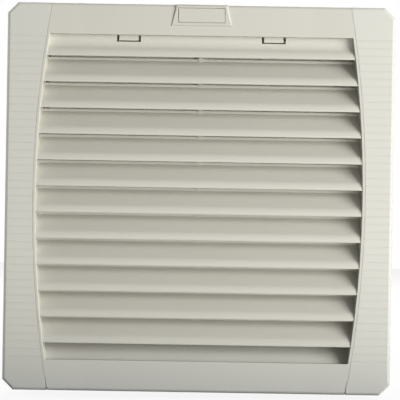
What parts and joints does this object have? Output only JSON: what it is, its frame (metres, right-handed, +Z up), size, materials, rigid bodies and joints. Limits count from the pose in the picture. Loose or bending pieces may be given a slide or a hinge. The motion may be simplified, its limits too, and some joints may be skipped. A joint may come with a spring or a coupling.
{
  "type": "cabinet filter fan",
  "caption": "Square cabinet filter fan: bowed louvred grille between grooved cheeks, hinged at the foot for mat changes, over a filter mat, snap-in frame and guarded axial fan",
  "frame": {"origin": "centre of the gasket's sealing face, on the outer skin of the cabinet", "axes": "+X to the right seen from the front, +Y into the cabinet, +Z up; the louvred front faces -Y"},
  "size_m": [0.255, 0.1042, 0.255],
  "materials": {
    "moulded_grey_abs": "moulded light grey ABS, fine matt texture",
    "frame_abs": "moulded light grey ABS, plain tool finish",
    "filter_fibre": "needled synthetic fibre mat, white",
    "gasket_foam": "foamed-in polyurethane gasket, dark grey",
    "latch_nylon": "moulded dark grey nylon",
    "zinc_steel": "zinc plated steel",
    "black_die_cast": "die-cast aluminium, black coated",
    "bright_steel": "ground steel",
    "core_steel": "oiled lamination steel",
    "copper_wire": "enamelled copper wire",
    "black_nylon": "moulded black glass filled nylon",
    "chromed_wire": "nickel-chromed steel wire",
    "terminal_nylon": "moulded grey nylon",
    "brass_screw": "brass, slotted",
    "lead_pvc": "PVC insulated copper strand, black"
  },
  "bodies": {
    "frame": {"base_frame": "frame_abs", "side_cheek_left": "moulded_grey_abs", "side_cheek_right": "moulded_grey_abs", "filter_mat": "filter_fibre", "support_grid": "frame_abs", "flange_gasket": "gasket_foam", "latch_pins": "zinc_steel", "fan_plate": "frame_abs", "plate_screws": "zinc_steel", "fan_frame": "black_die_cast", "bearings": "bright_steel", "stator_core": "core_steel", "windings": "copper_wire", "finger_guard": "chromed_wire", "fan_screws": "zinc_steel", "fan_nuts": "zinc_steel", "lead_plug": "black_nylon", "fan_leads": "lead_pvc", "terminal_block": "terminal_nylon", "terminal_screws": "brass_screw"},
    "louvre": {"louvre_grille": "moulded_grey_abs", "nameplate": "moulded_grey_abs"},
    "rotor": {"impeller": "black_nylon", "rotor_cup": "core_steel", "motor_shaft": "bright_steel"},
    "latch_ul": {"latch_upper_left": "latch_nylon"},
    "latch_ur": {"latch_upper_right": "latch_nylon"},
    "latch_ll": {"latch_lower_left": "latch_nylon"},
    "latch_lr": {"latch_lower_right": "latch_nylon"}
  },
  "joints": [
    {"name": "louvre_swing", "type": "hinge", "parent": "frame", "child": "louvre", "pos_m": [0, -0.022, -0.125], "axis": [1, 0, 0], "range_deg": [0, 60]},
    {"name": "fan_spin", "type": "hinge", "parent": "frame", "child": "rotor", "pos_m": [0, 0.05, 0], "axis": [0, 1, 0], "continuous": true},
    {"name": "latch_ul_snap", "type": "hinge", "parent": "frame", "child": "latch_ul", "pos_m": [-0.1085, 0.02, 0.06], "axis": [0, 0, 1], "range_deg": [0, 12], "stiffness_Nm_per_rad": 0.8},
    {"name": "latch_ur_snap", "type": "hinge", "parent": "frame", "child": "latch_ur", "pos_m": [0.1085, 0.02, 0.06], "axis": [0, 0, -1], "range_deg": [0, 12], "stiffness_Nm_per_rad": 0.8},
    {"name": "latch_ll_snap", "type": "hinge", "parent": "frame", "child": "latch_ll", "pos_m": [-0.1085, 0.02, -0.06], "axis": [0, 0, 1], "range_deg": [0, 12], "stiffness_Nm_per_rad": 0.8},
    {"name": "latch_lr_snap", "type": "hinge", "parent": "frame", "child": "latch_lr", "pos_m": [0.1085, 0.02, -0.06], "axis": [0, 0, -1], "range_deg": [0, 12], "stiffness_Nm_per_rad": 0.8}
  ]
}
